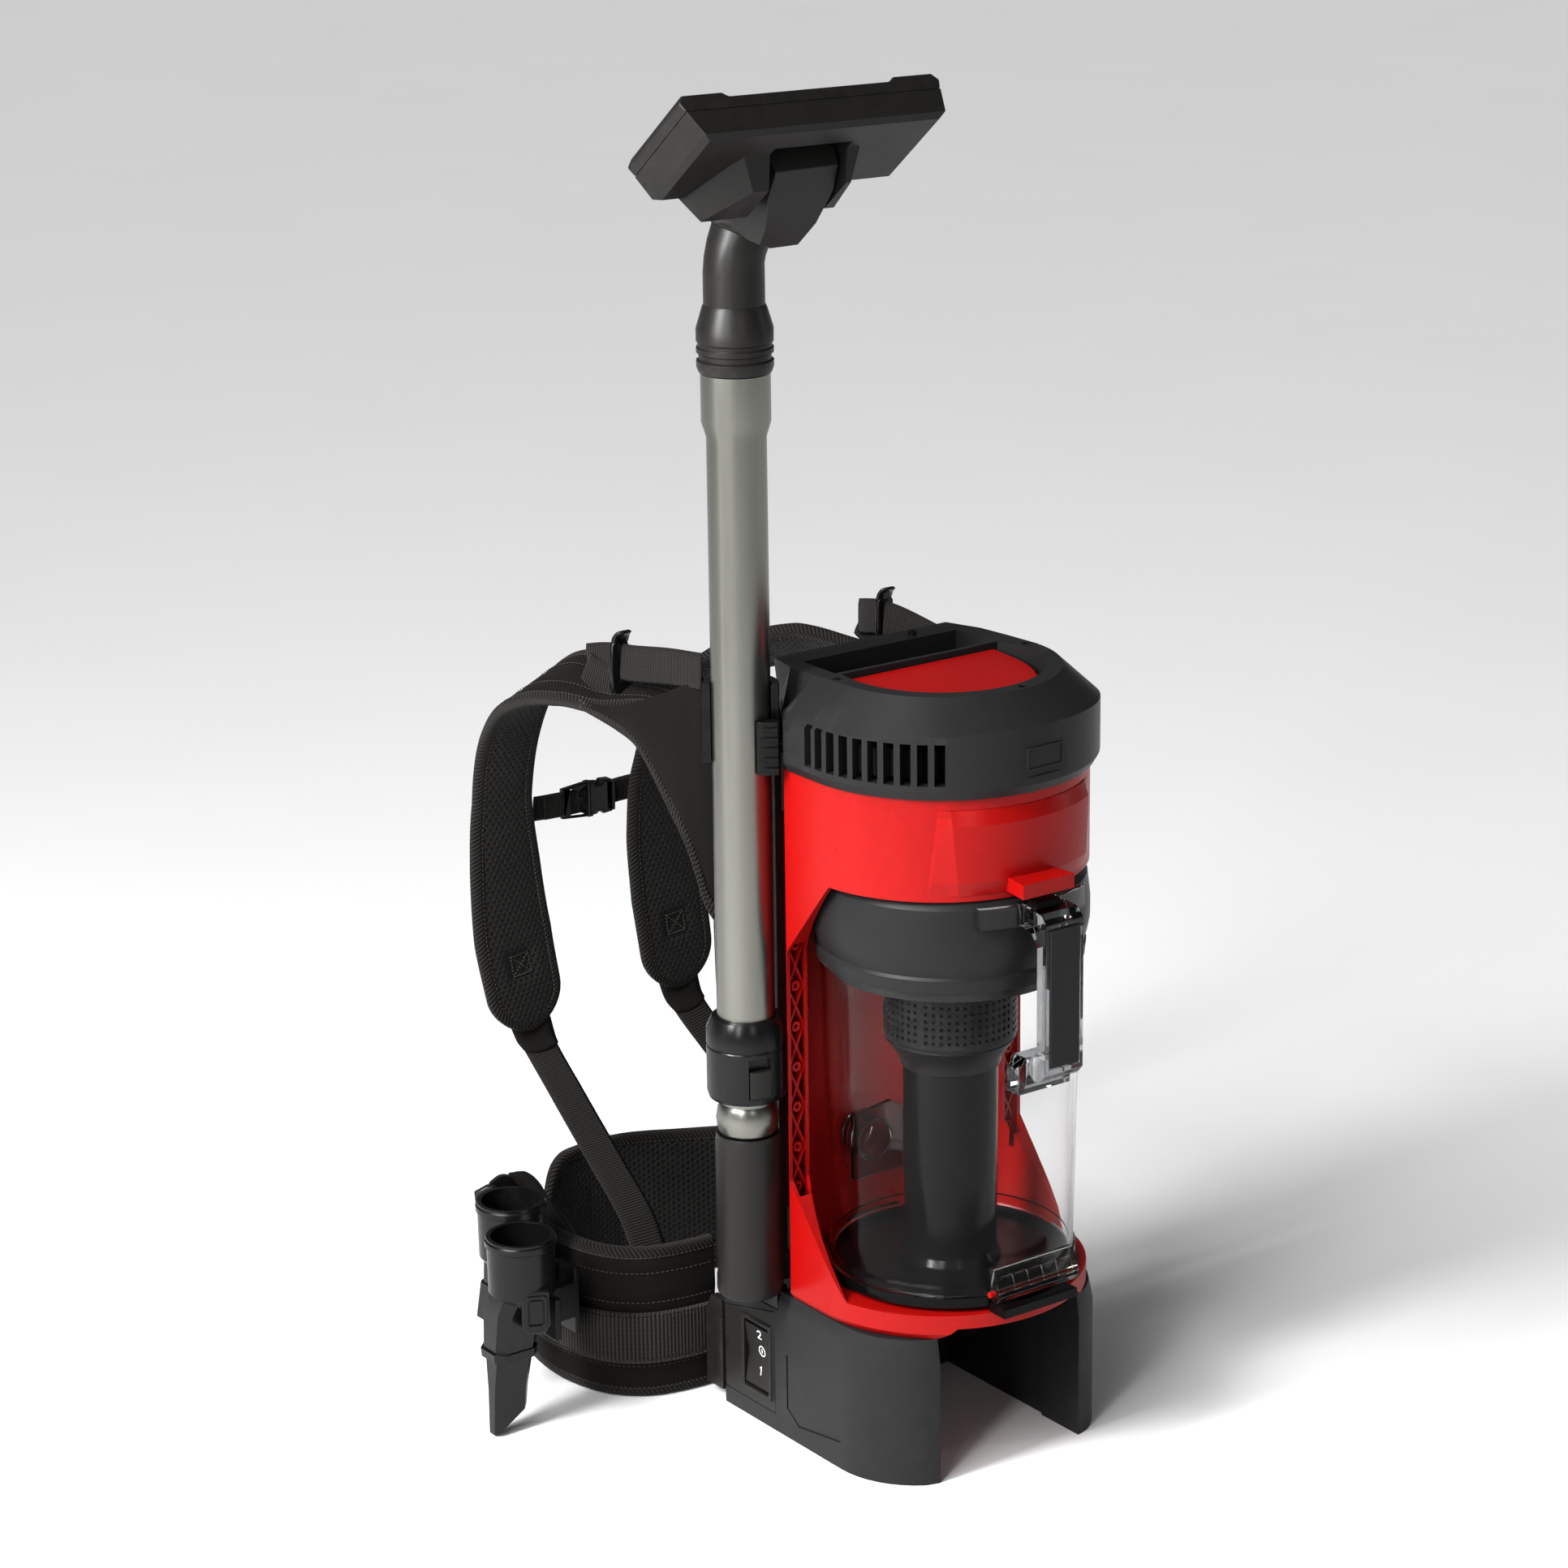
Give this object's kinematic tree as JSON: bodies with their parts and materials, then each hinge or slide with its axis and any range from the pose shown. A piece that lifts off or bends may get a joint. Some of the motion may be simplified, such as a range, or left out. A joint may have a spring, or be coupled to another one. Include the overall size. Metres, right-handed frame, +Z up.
{
  "type": "backpack vacuum cleaner",
  "caption": "Upright backpack vacuum: battery base, round frame with a lift-out clear bin, motor head, side wand with folded floor head, padded harness and belt tools.",
  "frame": {"origin": "on the ground under the middle of the whole object's box", "axes": "+Z up, -Y towards the canister's handle, +Y towards the wearer, the wand on the -X side"},
  "size_m": [0.3814, 0.4927, 0.9145],
  "materials": {
    "base_grey": "moulded dark grey plastic, fine grain",
    "head_grey": "moulded dark grey plastic, satin",
    "red_plastic": "moulded red plastic, satin",
    "black_plastic": "moulded black plastic, satin",
    "clear_plastic": "clear polycarbonate, polished",
    "smoked_plastic": "smoked translucent plastic, polished",
    "wand_aluminium": "brushed and clear anodised",
    "steel": "zinc plated",
    "filter_media": "pleated filter paper",
    "pad_fabric": "black woven nylon with air mesh faces",
    "webbing": "black ribbed nylon webbing"
  },
  "bodies": {
    "machine": {"base_skirt": "base_grey", "switch_panel": "black_plastic", "terminal_block": "black_plastic", "red_frame": "red_plastic", "motor_housing": "head_grey", "motor_cover": "red_plastic", "housing_screw_1": "steel", "housing_screw_2": "steel", "housing_screw_3": "steel", "housing_screw_4": "steel", "suction_motor": "steel", "exhaust_filter": "filter_media", "wand_peg": "black_plastic", "wand_bracket": "black_plastic", "harness_bracket": "black_plastic", "harness_frame": "black_plastic", "back_pad": "pad_fabric", "side_wing_left": "pad_fabric", "shoulder_pad_left": "pad_fabric", "lifter_strap_left": "webbing", "lifter_buckle_left": "black_plastic", "lower_strap_left": "webbing", "belt_wing_left": "pad_fabric", "side_wing_right": "pad_fabric", "shoulder_pad_right": "pad_fabric", "lifter_strap_right": "webbing", "lifter_buckle_right": "black_plastic", "lower_strap_right": "webbing", "belt_wing_right": "pad_fabric", "lumbar_pad": "pad_fabric", "sternum_strap": "webbing", "sternum_buckle": "black_plastic", "belt_webbing": "webbing", "belt_buckle": "black_plastic", "tool_holder": "black_plastic"},
    "rocker": {"power_rocker": "black_plastic"},
    "impeller": {"fan_impeller": "black_plastic"},
    "canister": {"canister_bin": "clear_plastic", "canister_lid": "head_grey", "shroud": "black_plastic", "intake_tube": "black_plastic", "bottom_door": "black_plastic", "inlet_port": "smoked_plastic", "canister_handle": "smoked_plastic", "handle_insert": "black_plastic"},
    "door_latch": {"door_latch": "smoked_plastic", "latch_pin": "red_plastic"},
    "release_button": {"release_button": "black_plastic"},
    "wand_lower": {"inner_tube": "wand_aluminium", "tube_cuff": "black_plastic"},
    "wand_upper": {"outer_tube": "wand_aluminium", "lock_collar": "black_plastic"},
    "lock_slider": {"collar_slider": "black_plastic"},
    "elbow": {"tool_neck": "black_plastic"},
    "yoke": {"tool_yoke": "black_plastic"},
    "floor_head": {"floor_head": "black_plastic", "sole_plate": "black_plastic"},
    "clip_jaw": {"clip_jaw": "black_plastic"},
    "crevice_tool": {"crevice_tool": "black_plastic"},
    "dusting_tool": {"dusting_tool": "black_plastic"}
  },
  "joints": [
    {"name": "rocker_tilt", "type": "hinge", "parent": "machine", "child": "rocker", "pos_m": [-0.028, -0.042, 0.0472], "axis": [0, 1, 0], "range_deg": [-8, 8]},
    {"name": "impeller_spin", "type": "hinge", "parent": "machine", "child": "impeller", "pos_m": [0.064, -0.128, 0.419], "axis": [0, 0, 1], "continuous": true},
    {"name": "canister_pull", "type": "slide", "parent": "machine", "child": "canister", "axis": [0, -1, 0], "range_m": [0, 0.2]},
    {"name": "door_latch_pivot", "type": "hinge", "parent": "canister", "child": "door_latch", "pos_m": [0.064, -0.216, 0.136], "axis": [1, 0, 0], "range_deg": [0, 25], "stiffness_Nm_per_rad": 0.2, "springref_deg": -20.05},
    {"name": "release_press", "type": "slide", "parent": "canister", "child": "release_button", "axis": [0, 0, -1], "range_m": [0, 0.003], "stiffness_N_per_m": 300, "springref_m": -0.003},
    {"name": "wand_lift", "type": "slide", "parent": "machine", "child": "wand_lower", "axis": [0, 0, 1], "range_m": [0, 0.043]},
    {"name": "wand_extend", "type": "slide", "parent": "wand_lower", "child": "wand_upper", "axis": [0, 0, 1], "range_m": [0, 0.12]},
    {"name": "slider_press", "type": "slide", "parent": "wand_upper", "child": "lock_slider", "axis": [0, 0, 1], "range_m": [0, 0.007], "stiffness_N_per_m": 200, "springref_m": -0.004},
    {"name": "elbow_turn", "type": "hinge", "parent": "wand_upper", "child": "elbow", "pos_m": [-0.049, -0.057, 0.735], "axis": [0, 0, 1], "continuous": true},
    {"name": "yoke_swivel", "type": "hinge", "parent": "elbow", "child": "yoke", "pos_m": [-0.0445, -0.0585, 0.811], "axis": [0.3741, -0.116, 0.9201], "range_deg": [-90, 90]},
    {"name": "head_pitch", "type": "hinge", "parent": "yoke", "child": "floor_head", "pos_m": [-0.051, -0.131, 0.868], "axis": [0.9998, 0, -0.0174], "range_deg": [0, 65]},
    {"name": "clip_jaw_pivot", "type": "hinge", "parent": "machine", "child": "clip_jaw", "pos_m": [-0.039, -0.081, 0.485], "axis": [0, 0, 1], "range_deg": [0, 20], "stiffness_Nm_per_rad": 0.3, "springref_deg": -17.19},
    {"name": "crevice_tool_lift", "type": "slide", "parent": "machine", "child": "crevice_tool", "axis": [0, 0, 1], "range_m": [0, 0.1]},
    {"name": "dusting_tool_lift", "type": "slide", "parent": "machine", "child": "dusting_tool", "axis": [0, 0, 1], "range_m": [0, 0.1]}
  ]
}
